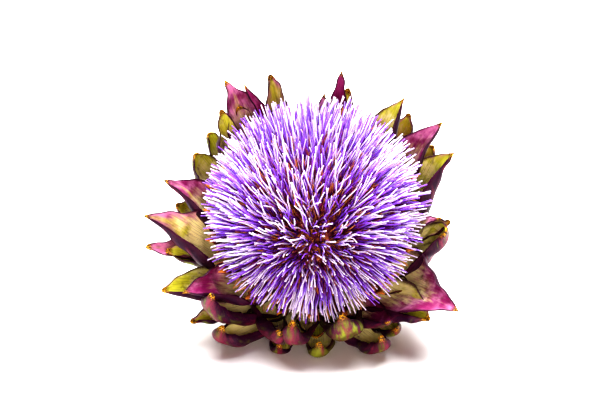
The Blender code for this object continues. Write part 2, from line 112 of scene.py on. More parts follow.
# One bract: its whorl and kind of tip, the clock angle of its root and of its tip, the tip's distance from
# the axis and height, the bract's width, the tip's lean from the axis, how far its margins fold in, and its
# twist. Its looks: how far its inside turns rosy, how much of its outside is plum rather than olive, and how
# far its anticlockwise and clockwise margins roll in.
Bract = namedtuple("Bract", "whorl tip root_clock tip_clock radius height width lean cup twist")
Looks = namedtuple("Looks", "rose plum rolls")
UPPER_BRACTS = [
    (Bract("inner", "spined", 15, 12, 0.0640, 0.056, 0.019, 40, 60, 0), Looks(0.95, 0.80, (30, 20))),
    (Bract("inner", "spined", 0, 6, 0.0520, 0.056, 0.016, 34, 50, 0), Looks(0.50, 0.50, (20, 20))),
    (Bract("upper", "spined", 42, 39, 0.0650, 0.054, 0.028, 48, 44, 20), Looks(0.12, 1.00, (0, 90))),
    (Bract("upper", "spined", 60, 56, 0.0695, 0.054, 0.029, 56, 50, 10), Looks(0.72, 0.90, (0, 60))),
    (Bract("upper", "spined", 86, 67, 0.0680, 0.048, 0.041, 34, 62, 20), Looks(0.15, 1.00, (0, 75))),
    (Bract("inner", "spined", 99, 97, 0.0560, 0.056, 0.016, 50, 60, 0), Looks(0.55, 0.60, (20, 20))),
    (Bract("upper", "spined", 120, 128, 0.0785, 0.055, 0.037, 62, 46, -8), Looks(0.75, 1.00, (50, 0))),
    (Bract("middle", "blunt", 139, 134, 0.0700, 0.043, 0.030, 50, 66, -6), Looks(0.20, 1.00, (0, 85))),
    (Bract("inner", "spined", 156, 148, 0.0610, 0.052, 0.022, 6, 60, 12), Looks(0.90, 1.00, (0, 80))),
    (Bract("lower", "blunt", 161, 166, 0.0505, 0.055, 0.028, -75, 72, 6), Looks(0.40, 0.60, (70, 70))),
    (Bract("lower", "blunt", 184, 189, 0.0520, 0.053, 0.021, -75, 72, 0), Looks(0.40, 0.85, (60, 60))),
    (Bract("middle", "blunt", 216, 194, 0.0565, 0.048, 0.022, -22, 74, 16), Looks(0.50, 1.00, (60, 60))),
    (Bract("lower", "blunt", 206, 226, 0.0580, 0.055, 0.024, -50, 76, -10), Looks(0.45, 0.85, (70, 60))),
    (Bract("inner", "spined", 226, 234, 0.0680, 0.054, 0.029, 60, 50, 14), Looks(0.85, 1.00, (60, 50))),
    (Bract("upper", "spined", 254, 266, 0.0730, 0.054, 0.034, 62, 62, 26), Looks(0.50, 1.00, (85, 20))),
    (Bract("upper", "spined", 277, 280, 0.0655, 0.054, 0.028, 56, 46, -8), Looks(0.70, 1.00, (80, 20))),
    (Bract("upper", "blunt", 298, 318, 0.0605, 0.053, 0.020, 20, 60, 0), Looks(0.15, 0.40, (10, 60))),
    (Bract("upper", "spined", 324, 327, 0.0715, 0.052, 0.035, 54, 40, -16), Looks(0.65, 0.90, (30, 0))),
    (Bract("inner", "spined", 352, 333, 0.0670, 0.048, 0.016, 58, 80, -20), Looks(0.95, 0.75, (20, 40))),
]
OUTER_BRACTS = [
    (Bract("middle", "blunt", 19, 15, 0.0635, 0.040, 0.017, 34, 66, 0), Looks(0.20, 0.80, (10, 10))),
    (Bract("middle", "blunt", 46, 42, 0.0655, 0.040, 0.018, 0, 66, 0), Looks(0.20, 0.95, (10, 20))),
    (Bract("middle", "blunt", 66, 58, 0.0640, 0.038, 0.017, 0, 68, 0), Looks(0.20, 0.55, (10, 20))),
    (Bract("lower", "blunt", 85, 92, 0.0610, 0.038, 0.015, 24, 66, 0), Looks(0.30, 0.60, (20, 20))),
    (Bract("middle", "blunt", 112, 99, 0.0585, 0.046, 0.030, -16, 60, 16), Looks(0.10, 0.95, (10, 30))),
    (Bract("middle", "blunt", 126, 125, 0.0700, 0.038, 0.020, 44, 66, 0), Looks(0.20, 0.95, (10, 30))),
    (Bract("lower", "blunt", 142, 143, 0.0610, 0.032, 0.019, -10, 62, 0), Looks(0.20, 0.60, (60, 60))),
    (Bract("lower", "blunt", 166, 152, 0.0620, 0.041, 0.021, -60, 76, 6), Looks(0.20, 0.90, (70, 70))),
    (Bract("basal", "blunt", 173, 177, 0.0560, 0.036, 0.020, -60, 60, 0), Looks(0.20, 0.20, (60, 60))),
    (Bract("basal", "blunt", 195, 194, 0.0575, 0.033, 0.017, -46, 60, 0), Looks(0.20, 0.80, (60, 60))),
    (Bract("lower", "blunt", 198, 217, 0.0630, 0.041, 0.022, -60, 76, -6), Looks(0.20, 0.85, (70, 70))),
    (Bract("lower", "blunt", 220, 229, 0.0700, 0.030, 0.017, 40, 66, 0), Looks(0.30, 0.70, (50, 50))),
    (Bract("middle", "blunt", 232, 241, 0.0740, 0.044, 0.024, 50, 80, 16), Looks(0.10, 1.00, (75, 0))),
    (Bract("middle", "blunt", 255, 258, 0.0740, 0.042, 0.015, 56, 66, 0), Looks(0.60, 0.40, (20, 20))),
    (Bract("lower", "blunt", 250, 256, 0.0660, 0.038, 0.022, 44, 66, 0), Looks(0.10, 0.25, (20, 10))),
    (Bract("middle", "blunt", 276, 275, 0.0600, 0.040, 0.018, 0, 66, 0), Looks(0.10, 0.30, (10, 10))),
    (Bract("middle", "blunt", 297, 300, 0.0600, 0.038, 0.019, -20, 66, 0), Looks(0.10, 0.30, (10, 10))),
    (Bract("lower", "blunt", 310, 311, 0.0610, 0.038, 0.017, -10, 66, 0), Looks(0.10, 0.35, (10, 10))),
    (Bract("middle", "blunt", 317, 327, 0.0600, 0.044, 0.020, -10, 66, 0), Looks(0.30, 0.40, (10, 10))),
    (Bract("middle", "blunt", 346, 344, 0.0690, 0.044, 0.015, 34, 66, 0), Looks(0.30, 0.45, (10, 10))),
]

# Short bracts cover the underside of the heart, in two whorls.
LOWER_CLOCKS = (2, 31, 54, 74, 110, 125, 160, 178, 207, 270, 289, 334)
LOWER_TIP = (0.0520, 0.0270)
LOWER_FORM = (0.022, 30, 52, 0)  # width, lean, cup and twist
BASAL_COUNT = 10
BASAL_TIP = (0.0360, 0.0110)
BASAL_FORM = (0.018, 56, 46, 0)
SHORT_ROSE, SHORT_PLUM, SHORT_ROLLS = 0.2, (0.25, 0.85), (10, 10)
# Narrow papery bracts stand between the rest and the florets.
PAPERY_COUNT = 20
PAPERY_TIP = (0.0510, 0.0450)
PAPERY_WIDTH, PAPERY_CUP = 0.0090, 40
PAPERY_LEAN, PAPERY_LEAN_BELOW = 58.0, 16.0  # those at the bottom lean less by the second of these,
PAPERY_REACH_BELOW = 0.003  # and their tips are nearer the axis by this
PAPERY_LOOKS = Looks(0.8, 1.0, (20, 20))
CLOCK_PLAY, REACH_PLAY, LEAN_PLAY = 4.0, 0.0018, 7.0

# Strips across a bract and rows along it, which lie closer together near its margins and its tip.
LARGE_MESH, SHORT_MESH, PAPERY_MESH = (24, 44), (16, 26), (12, 22)
STRIPS_CLOSER, ROWS_CLOSER = 1.25, 1.25

# What a finished bract has beyond the part's.
TIP_THINS, MARGIN_THINS = 1.2, 1.5  # how late it thins towards its tip and its margins, as powers
MARGIN_SHARE = 0.30  # its thickness near the margins as a share of that at the midrib
EDGE_ROUNDS = 10  # how close to its edge it is rounded off, as a power
ROLL_FROM = 0.42  # share of the half width past which a margin rolls
ROLL_ALONG = (0.25, 0.60)  # shares of its length between which the roll grows
SPINE_LENGTH = 0.0055
SPINE_RADII = (0.00085, 0.00016)
SPINE_FOOT = 1.6  # the blade passes into the spine over this many of its lengths
BLUNT_HALF_WIDTH = 0.0022
BLUNT_END = 0.0030  # a blunt tip is rounded off over this length
BUCKLE, BUCKLE_SIZE = 0.00055, 0.013  # how deep its surface buckles, and how far apart the buckles are
RUFFLE, RUFFLE_SIZE = 0.00060, 0.010  # how far its margins wave
NICK, NICK_SIZE = 0.05, 0.0045  # how deep they are nicked, as a share of the half width
WAVES_ALONG = (0.15, 0.50)  # shares of its length between which all of these grow
NEAR_MARGIN = 3  # how close to the margin ruffles and nicks stay, as a power
RIPPLES, RIPPLE_SIZES = 5, (0.7, 1.5)  # how many waves lie over one another, and their play in size
RIPPLE_CREST = 2.6  # how high their sum gets
PATTERN_STEP = 3.7  # between the patterns on one bract's skin and on the next one's
CENTIMETRES, MILLIMETRES = 100, 1000  # in a metre, for what the skins read

# ---------------------------------------------------------------- the florets
DOME_CENTRE = 0.0380
DOME_RADIUS, DOME_RISE = 0.0345, 0.0240
DOME_SPAN = 98.0  # the dome's florets reach this far from its pole
BRUSH_CENTRE = 0.0440
BRUSH_RADIUS, BRUSH_RISE = 0.0510, 0.0400
BRUSH_REACH_ABOVE = 0.0035  # how much wider the brush is at its top
BRUSH_SHORT_LEFT = 0.0028  # how much nearer the tips on its left are to its axis
BRUSH_LEAN = 82.0  # the outermost florets' tips lie this far from the axis,
BRUSH_DROOP = 8.0  # and this much further at the bottom, where they hang over the bracts
START_LEAN = 50.0  # the outermost florets start out at this lean
BEND_SHARE = 0.45  # share of its length over which a floret keeps the way it starts
FLORET_COUNT = 2000
SPIRAL_PLAY = (0.1, 0.9)  # where a floret stands within its own step of the spiral
CLOCK_STRAY, CLOCK_STRAY_FROM = 1.5, 0.2  # how far off its clock angle at the rim, and more down to here
FLORET_PLAY = 0.0016  # how far a floret's tip strays from its place in the spiral,
MIDDLE_PLAY, MIDDLE_PLAY_FADES = 1.2, 1.6  # how many times more in the middle, and how fast that fades
CURL = (0.0090, 0.0016)  # how far its bend strays, at the middle of the brush and at its rim
CURL_FADES = 1.2  # how much sooner than at the rim it has come down to the second
SHORTEST = 0.80  # the shortest floret's length as a share of the longest's
LONG_ONES = 1.4  # how far the lengths crowd towards the longest, as a power
ROOT_SPREAD, ROOT_HEIGHTS = 0.021, (0.040, 0.036)  # where the florets grow, at the middle and at the rim
COMBED_UP = 0.20  # how far up the tips in its middle are combed, as a share of its radius
SWIRL = 12.0  # how far the florets' tips turn round the axis from their roots
CLEARANCE = 0.00076  # between a floret's course and a bract,
CLEAR_AT = (0.4, 0.6, 0.8, 1.0)  # tried at these shares of its length
CLEARING_STEP, CLEARING_STEPS = 2.0, 16  # how far and how often a floret is turned in to the axis for it

# The strands that stand beside a style: the share of its length where they start, the shares where they end
# in the middle of the brush and at its rim, how far they stand off it at three places, and at which turns.
Beside = namedtuple("Beside", "start ends spread turns")
LOBES_BESIDE = Beside(0.40, (0.84, 0.74), (0.0003, 0.0008, 0.0013), (0,))
ANTHERS_BESIDE = Beside(0.40, (0.80, 0.68), (0.0004, 0.0011, 0.0014), (90, 210))
BESIDE_TURN = 47.0  # from one floret to the next
ANY_WAY = (0.31, 0.52, 0.79)  # these turns are counted from the way that is square to it and to the floret

# The bristles round the florets' foot.
CHAFF_COUNT = 320
CHAFF_SHARES, CHAFF_SUNK = (0.93, 1.0), (0.97, 0.97, 1.0)  # where on the dome, and how near its axis
CHAFF_LEANS, CHAFF_REACHES = (66, 96), (0.008, 0.015)
CHAFF_CLOCK_PLAY, CHAFF_TWIST = 2, 20
CHAFF_BOW, CHAFF_BEND = 25, 0.5  # how much less they lean up to their bend, and where that is

# The lower parts of the florets, a dome just inside the one above.
BED_INSIDE = 0.0015
BED_FOOT = 0.0002  # above the heart
PIMPLE, PIMPLE_SIZES = 0.02, (0.09, 0.08)  # as shares of its size

# The kinds of strand: the finish, its colours at the root, along the middle and at the tip, and what the tree
# that grows them is given. The dark root colours are painted shade deep in the brush.
Strand = namedtuple("Strand", "finish colours inputs")
STRANDS = {
    "floret_styles": Strand(
        "style lavender",
        # the styles' pale tip colour is their own colour and also a painted highlight
        [(0.15, 0.010, 0.13), (0.29, 0.085, 0.76), (0.84, 0.77, 0.90)],
        {
            "Sides": 4, "Steps": 10, "Wobble": 0.0026,
            "Root Radius": 0.00024, "Middle Radius": 0.00027, "Tip Radius": 0.00026,
        },
    ),
    "floret_lobes": Strand(
        "lobe violet",
        [(0.10, 0.01, 0.28), (0.26, 0.04, 0.66), (0.40, 0.12, 0.86)],
        {"Sides": 3, "Steps": 4, "Root Radius": 0.00024, "Middle Radius": 0.00028, "Tip Radius": 0.0001},
    ),
    "floret_anthers": Strand(
        "anther maroon",
        [(0.14, 0.010, 0.05), (0.40, 0.040, 0.14), (0.76, 0.28, 0.05)],
        {"Sides": 3, "Steps": 5, "Root Radius": 0.00026, "Middle Radius": 0.00028, "Tip Radius": 0.00016},
    ),
    "floret_chaff": Strand(
        "chaff orange",
        [(0.10, 0.02, 0.02), (0.45, 0.12, 0.05), (0.80, 0.35, 0.12)],
        {"Sides": 3, "Steps": 6, "Root Radius": 0.0004, "Middle Radius": 0.0004, "Tip Radius": 0.00015},
    ),
}

# ---------------------------------------------------------------- the stage
FLOOR_SIZE, FLOOR_WHITE = 4, (0.86, 0.86, 0.86)
Light = namedtuple("Light", "name power size at towards colour")
LIGHTS = [
    Light("key", 38, 0.88, (-0.03, 0.31, 0.87), (0, 0, 0.03), (1, 1, 1)),
    Light("front fill", 6.8, 0.5, (0.10, -0.9, 0.18), (0, 0, 0.05), (1, 0.83, 0.74)),
]
WORLD_COLOUR, WORLD_STRENGTH = (1, 0.66, 0.66), 0.14
CAMERA_RISE = 22.0  # the camera looks down by this much,
CAMERA_AIM = 0.046  # at this height on the head's axis,
CAMERA_AWAY = 0.74  # from this far away
LENS, FILM_WIDTH = 100, 36  # millimetres
FRAME_SHIFT = (-0.0098, 0.0106)  # as shares of the film's width


# ================================================================ places in the head's frame
def outward(clock):
    angle = np.radians(np.asarray(clock, float))
    return np.stack([np.sin(angle), np.cos(angle), np.zeros_like(angle)], axis=-1)


def sideways(clock):
    angle = np.radians(np.asarray(clock, float))
    return np.stack([np.cos(angle), -np.sin(angle), np.zeros_like(angle)], axis=-1)


def place(radius, clock, height):
    """The point at a distance from the axis, a clock angle and a height, or many of them."""
    up = np.zeros(3) + np.asarray(height, float)[..., None] * np.array([0.0, 0.0, 1.0])
    return np.asarray(radius, float)[..., None] * outward(clock) + up


def leaning(clock, lean):
    """The direction that leans this far from the axis, towards a clock angle."""
    return place(np.sin(np.radians(lean)), clock, np.cos(np.radians(lean)))


def unit(vectors):
    return vectors / np.maximum(np.linalg.norm(vectors, axis=-1, keepdims=True), 1e-12)


def smooth(values, low=0.0, high=1.0):
    values = np.clip((values - low) / (high - low), 0, 1)
    return values * values * (3 - 2 * values)


def cubic(handles, share):
    p0, p1, p2, p3 = handles
    s = share[:, None]
    points = (1 - s) ** 3 * p0 + 3 * (1 - s) ** 2 * s * p1 + 3 * (1 - s) * s**2 * p2 + s**3 * p3
    slope = (1 - s) ** 2 * (p1 - p0) + 2 * (1 - s) * s * (p2 - p1) + s**2 * (p3 - p2)
    return points, unit(slope)


def head_axes():
    """The head's own axes in the part's frame: to its right, up across it and out of the flower."""
    rise = math.radians(AXIS_RISE)
    return np.array([
        [1.0, 0.0, 0.0],
        [0.0, math.sin(rise), math.cos(rise)],
        [0.0, -math.cos(rise), math.sin(rise)],
    ])


def lifted(points, least):
    """The points raised off the floor: none ends below the least height, and they ease into it."""
    floor_up = head_axes()[:, 2]
    over = HEAD_AT[2] + points @ floor_up - least
    eased = np.where(over > FLOOR_PLAY, over, FLOOR_PLAY * np.exp(np.minimum(over / FLOOR_PLAY - 1, 0)))
    return points + (eased - over)[..., None] * floor_up


def laid_down(points):
    """Points of the head's frame in the part's frame, none of them under the floor."""
    right, up, out = head_axes()
    world = HEAD_AT + points[:, :1] * right + points[:, 1:2] * up + points[:, 2:3] * out
    world[:, 2] = np.maximum(world[:, 2], FLOOR_GAP)
    return world


# ================================================================ the bracts' form
def bract_midrib(bract, along):
    """The points of a bract's midrib, and there the directions to its side and in to the axis."""
    whorl = WHORLS[bract.whorl]
    root = place(whorl.radius, bract.root_clock, whorl.height)
    tip = place(bract.radius, bract.tip_clock, bract.height)
    reach = np.linalg.norm(tip - root)
    from_root = ROOT_HANDLE * reach * leaning(bract.root_clock, whorl.lean)
    to_tip = TIP_HANDLE * reach * leaning(bract.tip_clock, bract.lean)
    points, ahead = cubic([root, root + from_root, tip - to_tip, tip], along)
    turn = (bract.tip_clock - bract.root_clock + 180) % 360 - 180
    side = sideways(bract.root_clock + turn * along)
    side = unit(side - np.sum(side * ahead, axis=1, keepdims=True) * ahead)
    inward = np.cross(side, ahead)
    twist = np.radians(bract.twist * along)[:, None]
    return (
        points,
        side * np.cos(twist) + inward * np.sin(twist),
        inward * np.cos(twist) - side * np.sin(twist),
    )


def rounded_end(from_tip, length):
    """Falls from 1 to 0 over the last stretch of a bract, as a round end does."""
    return np.sqrt(1 - (1 - np.clip(from_tip / length, 0, 1)) ** 2)


def spine_radius(from_tip):
    thick, thin = SPINE_RADII
    return thin + (thick - thin) * np.clip(from_tip / SPINE_LENGTH, 0, 1)


def blade_half_width(bract, along, from_tip):
    tip = TIPS[bract.tip]
    swell = ROOT_SHARE + (1 - ROOT_SHARE) * np.sin(np.clip(along / WIDEST_AT, 0, 1) * math.pi / 2)
    past = np.clip((along - WIDEST_AT) / (1 - WIDEST_AT), 0, 1)
    blade = bract.width / 2 * swell * (1 - past**tip.bow) ** tip.fall
    if bract.tip == "blunt":
        return np.maximum(blade, BLUNT_HALF_WIDTH) * rounded_end(from_tip, BLUNT_END)
    return np.maximum(blade, spine_radius(from_tip)) * rounded_end(from_tip, SPINE_RADII[1] * 2)


def blade_thickness(bract, along, across, from_tip):
    midrib = WHORLS[bract.whorl].thickness
    body = midrib + (TIP_THICKNESS - midrib) * along[:, None] ** TIP_THINS
    body = body * (1 - (1 - MARGIN_SHARE) * np.abs(across) ** MARGIN_THINS)
    body = body * np.sqrt(1 - np.abs(across) ** EDGE_ROUNDS)
    if bract.tip == "blunt":
        return body * rounded_end(from_tip, BLUNT_END)[:, None]
    spine = 2 * spine_radius(from_tip)[:, None] * np.sqrt(np.maximum(1 - across**2, 0))
    blade = smooth(from_tip, 0, SPINE_LENGTH * SPINE_FOOT)[:, None]
    return (blade * body + (1 - blade) * spine) * rounded_end(from_tip, SPINE_RADII[1] * 2)[:, None]


def ripples(draw, across, along, size):
    """Waves of about this size in a few random directions, mostly within -1 and 1."""
    total = np.zeros(np.broadcast(across, along).shape)
    for _ in range(RIPPLES):
        way = draw.uniform(0, math.tau)
        wave = (across * math.cos(way) + along * math.sin(way)) / (size * draw.uniform(*RIPPLE_SIZES))
        total += np.sin(math.tau * wave + draw.uniform(0, math.tau))
    return total / RIPPLE_CREST


def from_middle(values, across):
    """The running integral over the columns, counted from the middle one."""
    steps = (values[:, 1:] + values[:, :-1]) / 2 * np.diff(across)
    run = np.concatenate([np.zeros((len(values), 1)), np.cumsum(steps, axis=1)], axis=1)
    middle = len(across) // 2
    return run - run[:, middle : middle + 1]


def bract_sheet(bract, looks, across, along, draw):
    """The halfway sheet of a bract, its normals and thickness, and its flat measures across and along."""
    midrib, side, inward = bract_midrib(bract, along)
    walked = np.concatenate([[0], np.cumsum(np.linalg.norm(np.diff(midrib, axis=0), axis=1))])
    from_tip = walked[-1] - walked
    half = blade_half_width(bract, along, from_tip)[:, None]
    flat_across, flat_along = half * across, np.repeat(walked[:, None], len(across), axis=1)
    grown = smooth(along, *WAVES_ALONG)[:, None] * smooth(from_tip, 0, SPINE_LENGTH)[:, None]
    at_margin = np.abs(across) ** NEAR_MARGIN
    half = half * (1 + NICK * grown * at_margin * ripples(draw, 0 * flat_across, flat_along, NICK_SIZE))
    wrap = bract.width / 2 / WHORLS[bract.whorl].radius
    fold = (wrap + (math.radians(bract.cup) - wrap) * smooth(along / WIDEST_AT))[:, None]
    left, right = np.radians(looks.rolls)
    rolling = smooth(np.abs(across), ROLL_FROM, 1) * np.where(across < 0, -left, right)
    angle = fold * across + rolling * smooth(along, *ROLL_ALONG)[:, None]
    sideward = from_middle(half * np.cos(angle), across)[..., None]
    rise = from_middle(half * np.sin(angle), across)[..., None]
    normal = inward[:, None] * np.cos(angle)[..., None] - side[:, None] * np.sin(angle)[..., None]
    points = midrib[:, None] + sideward * side[:, None] + rise * inward[:, None]
    wave = BUCKLE * ripples(draw, flat_across, flat_along, BUCKLE_SIZE)
    wave += RUFFLE * at_margin * ripples(draw, flat_across, flat_along, RUFFLE_SIZE)
    points = points + (wave * grown)[..., None] * normal
    thick = blade_thickness(bract, along, across, from_tip)
    return lifted(points, thick / 2 - FLAT_DEPTH), normal, thick, flat_across, flat_along, from_tip


def ring_faces(rings, count):
    """Quads between rings of points, and triangles from the first and the last ring to a point each."""
    faces = []
    for ring in range(rings - 1):
        for i in range(count):
            here, there = ring * count, (ring + 1) * count
            j = (i + 1) % count
            faces.append((here + i, here + j, there + j, there + i))
    first_end, last_end, last = rings * count, rings * count + 1, (rings - 1) * count
    faces += [(i, first_end, (i + 1) % count) for i in range(count)]
    faces += [(last + i, last + (i + 1) % count, last_end) for i in range(count)]
    return faces


def bract_shell(bract, looks, columns, rows, draw, number):
    """The closed skin of one bract: its points, faces and what its finish reads at each point."""
    spread = np.linspace(-1, 1, columns + 1)
    across = np.sin(STRIPS_CLOSER * spread) / math.sin(STRIPS_CLOSER)
    along = 1 - (1 - np.linspace(0, 1, rows)) ** ROWS_CLOSER
    sheet, normal, thick, flat_across, flat_along, from_tip = bract_sheet(bract, looks, across, along, draw)
    inner = sheet + normal * thick[..., None] / 2
    outer = sheet - normal * thick[..., None] / 2
    back = slice(columns - 1, 0, -1)

    def ring(front, behind):
        return np.concatenate([front, behind[:, back]], axis=1)

    count = 2 * columns
    marks = {
        "inner": ring(np.ones_like(thick), np.zeros_like(thick)),
        "along": np.repeat(along[:, None], count, axis=1),
        "across": ring(*[np.repeat(across[None], rows, axis=0)] * 2),
        "from_tip": np.repeat(from_tip[:, None] * MILLIMETRES, count, axis=1),
        "flat_across": ring(flat_across, flat_across) * CENTIMETRES + number * PATTERN_STEP,
        "flat_along": ring(flat_along, flat_along) * CENTIMETRES,
    }
    marks["inner"][:, [0, columns]] = 0.5
    marks = {name: values[:-1].ravel() for name, values in marks.items()}
    ends = np.array([sheet[0].mean(axis=0), sheet[-1].mean(axis=0)])
    points = np.concatenate([ring(inner, outer)[:-1].reshape(-1, 3), ends])
    for name, values in marks.items():
        first, last = values[columns // 2], values[-count + columns // 2]
        marks[name] = np.concatenate([values, [first, 0.0 if name == "from_tip" else last]])
    marks["rose"] = np.full(len(points), looks.rose)
    marks["plum"] = np.full(len(points), looks.plum)
    return points, ring_faces(rows - 1, count), marks


def new_object(name, data):
    made = bpy.data.objects.new(name, data)
    bpy.context.scene.collection.objects.link(made)
    return made


def whole_mesh(name, shells):
    """One object of many closed shells, with attributes of what their finish reads."""
    points = laid_down(np.concatenate([shell[0] for shell in shells]))
    faces, start = [], 0
    for shell in shells:
        faces += [tuple(start + i for i in face) for face in shell[1]]
        start += len(shell[0])
    mesh = bpy.data.meshes.new(name)
    mesh.from_pydata(points.tolist(), [], faces)
    for mark in shells[0][2]:
        values = np.concatenate([shell[2][mark] for shell in shells]).astype(np.float32)
        mesh.attributes.new(mark, "FLOAT", "POINT").data.foreach_set("value", values)
    skin = bmesh.new()
    skin.from_mesh(mesh)
    bmesh.ops.recalc_face_normals(skin, faces=skin.faces)
    skin.to_mesh(mesh)
    skin.free()
    mesh.shade_smooth()
    return new_object(name, mesh)


def make_bracts(name, bracts, strips, draw):
    shells = [bract_shell(*pair, *strips, draw, i) for i, pair in enumerate(bracts)]
    return whole_mesh(name, shells)


def short_bracts(draw):
    """The bracts of the underside, and the papery ones between the rest and the florets."""
    short, papery = [], []
    for clock in LOWER_CLOCKS:
        radius, height = LOWER_TIP
        radius += draw.uniform(-REACH_PLAY, REACH_PLAY)
        short.append(Bract("lower", "blunt", clock, clock, radius, height, *LOWER_FORM))
    for i in range(BASAL_COUNT):
        clock = 360 * i / BASAL_COUNT + draw.uniform(-CLOCK_PLAY, CLOCK_PLAY)
        radius, height = BASAL_TIP
        radius += draw.uniform(-REACH_PLAY, REACH_PLAY)
        short.append(Bract("basal", "blunt", clock, clock, radius, height, *BASAL_FORM))
    for i in range(PAPERY_COUNT):
        clock = 360 * i / PAPERY_COUNT + draw.uniform(-CLOCK_PLAY, CLOCK_PLAY)
        below = (1 - math.cos(math.radians(clock))) / 2
        radius, height = PAPERY_TIP
        radius += draw.uniform(-REACH_PLAY, REACH_PLAY) - PAPERY_REACH_BELOW * below
        lean = PAPERY_LEAN - PAPERY_LEAN_BELOW * below + draw.uniform(-LEAN_PLAY, LEAN_PLAY)
        form = (PAPERY_WIDTH, lean, PAPERY_CUP, 0)
        papery.append(Bract("papery", "papery", clock, clock, radius, height, *form))
    plums = random.Random(SEED + 1)
    return (
        [(bract, Looks(SHORT_ROSE, plums.uniform(*SHORT_PLUM), SHORT_ROLLS)) for bract in short],
        [(bract, PAPERY_LOOKS) for bract in papery],
    )


# ================================================================ the heart and the stem
def make_heart():
    """The heart and the ribbed stub of the stem, turned about the axis."""
    corners = np.array(HEART_OUTLINE)
    walked = np.concatenate([[0], np.cumsum(np.linalg.norm(np.diff(corners, axis=0), axis=1))])
    even = np.linspace(0, walked[-1], HEART_ROWS)
    radii, heights = np.interp(even, walked, corners[:, 0]), np.interp(even, walked, corners[:, 1])
    clocks = np.arange(HEART_SIDES) * 360 / HEART_SIDES
    turns = np.radians(clocks)
    ribs = 0.5 - 0.5 * np.cos(turns * RIBS + RIB_DRIFT * np.sin(turns * RIB_DRIFTS))
    on_stem = smooth(-heights, -RIBBED_FROM, -RIBBED_BY)[:, None]
    radius = radii[:, None] - RIB_DEPTH * on_stem * ribs[None]
    # The cut face, from its rim in to the pith, a little sunken.
    radius = np.concatenate([radius, radius[-1][None] * CUT_RINGS[:, None]])
    heights = np.concatenate([heights, STEM_CUT + PITH_DEPTH * (1 - CUT_RINGS) ** 0.5])
    rows = len(heights)
    round_it = np.repeat(clocks[None], rows, axis=0)
    points = place(radius, round_it, np.repeat(heights[:, None], HEART_SIDES, axis=1)).reshape(-1, 3)
    points = np.concatenate([points, [[0, 0, HEART_TOP], [0, 0, STEM_CUT + CUT_EDGE]]])
    cut = np.zeros(len(points))
    cut[HEART_ROWS * HEART_SIDES : rows * HEART_SIDES] = np.repeat(1 - CUT_RINGS, HEART_SIDES)
    cut[-1] = 1
    marks = {
        "cut": cut,
        "height": points[:, 2] * CENTIMETRES,
        "round": np.concatenate([np.tile(clocks / 360, rows), [0, 0]]),
    }
    return whole_mesh("heart_and_stem", [(points, ring_faces(rows, HEART_SIDES), marks)])


# ================================================================ the florets' courses
def quadratic(root, bend, tip, along):
    at = (1 - along) ** 2 * root + 2 * (1 - along) * along * bend + along**2 * tip
    return at, unit((1 - along) * (bend - root) + along * (tip - bend))


def on_dome(share, clock):
    slope = np.arccos(1 - (1 - math.cos(math.radians(DOME_SPAN))) * share**2)
    return place(DOME_RADIUS * np.sin(slope), clock, DOME_CENTRE + DOME_RISE * np.cos(slope))


def brush_tip(share, clock, turned_in):
    below = (1 - np.cos(np.radians(clock))) / 2
    lean = (BRUSH_LEAN + BRUSH_DROOP * below**2) * share - turned_in
    leftward = np.maximum(-np.sin(np.radians(clock)), 0)
    reach = BRUSH_RADIUS + BRUSH_REACH_ABOVE * (1 - below) ** 2 - BRUSH_SHORT_LEFT * leftward
    size = np.array([reach, reach, BRUSH_RISE])
    return leaning(clock, lean) * size + (0, 0, BRUSH_CENTRE)


def parted(share, clock):
    """Where a tip goes on the disc: combed up, so that the brush parts below its middle, and swirled."""
    x, y = share * math.sin(math.radians(clock)), share * math.cos(math.radians(clock))
    y += COMBED_UP * (1 - share**2)
    return min(math.hypot(x, y), 1.0), math.degrees(math.atan2(x, y)) + SWIRL * share * (1 - share)


def floret_course(share, clock, length, play, curl, barrier):
    """A floret's root, bend and tip. It is turned in to the axis until it clears the bracts."""
    tip_share, tip_clock = parted(share, clock)
    root = place(ROOT_SPREAD * share, clock, ROOT_HEIGHTS[0] + (ROOT_HEIGHTS[1] - ROOT_HEIGHTS[0]) * share)
    for step in range(CLEARING_STEPS):
        turned_in = step * CLEARING_STEP
        tip = root + (brush_tip(tip_share, tip_clock, turned_in) + play - root) * length
        start = leaning(clock, START_LEAN * share - turned_in)
        bend = root + start * BEND_SHARE * np.linalg.norm(tip - root)
        bend = bend + curl
        places = [Vector(quadratic(root, bend, tip, along)[0]) for along in CLEAR_AT]
        near = [barrier.find_nearest(at)[3] for at in places]
        if min(near) > CLEARANCE:
            break
    return root, bend, tip


def floret_courses(bracts):
    """The courses of all florets, in the spiral order of a flower head."""
    draw = random.Random(SEED)
    barrier = head_frame_tree(bracts)
    turn = math.degrees(math.pi * (3 - math.sqrt(5)))
    courses = []
    for i in range(FLORET_COUNT):
        share = min(math.sqrt((i + draw.uniform(*SPIRAL_PLAY)) / FLORET_COUNT), 1.0)
        clock = i * turn + draw.uniform(-CLOCK_STRAY, CLOCK_STRAY) / max(share, CLOCK_STRAY_FROM)
        stray = FLORET_PLAY * (1 + MIDDLE_PLAY * max(1 - MIDDLE_PLAY_FADES * share, 0))
        play = np.array([draw.uniform(-stray, stray) for _ in range(3)]) - (0, 0, stray)
        curl = CURL[0] + (CURL[1] - CURL[0]) * min(share * CURL_FADES, 1)
        curl = np.array([draw.uniform(-curl, curl) for _ in range(3)])
        length = 1 - (1 - SHORTEST) * draw.random() ** LONG_ONES
        courses.append(floret_course(share, clock, length, play, curl, barrier))
    return np.array(courses)


def head_frame_tree(objects):
    """A search tree of these objects' surfaces, in the head's frame."""
    points, polygons = [], []
    for thing in objects:
        start = len(points)
        world = np.array([vert.co for vert in thing.data.vertices])
        points += ((world - HEAD_AT) @ head_axes().T).tolist()
        polygons += [[start + i for i in face.vertices] for face in thing.data.polygons]
    return BVHTree.FromPolygons(points, polygons)


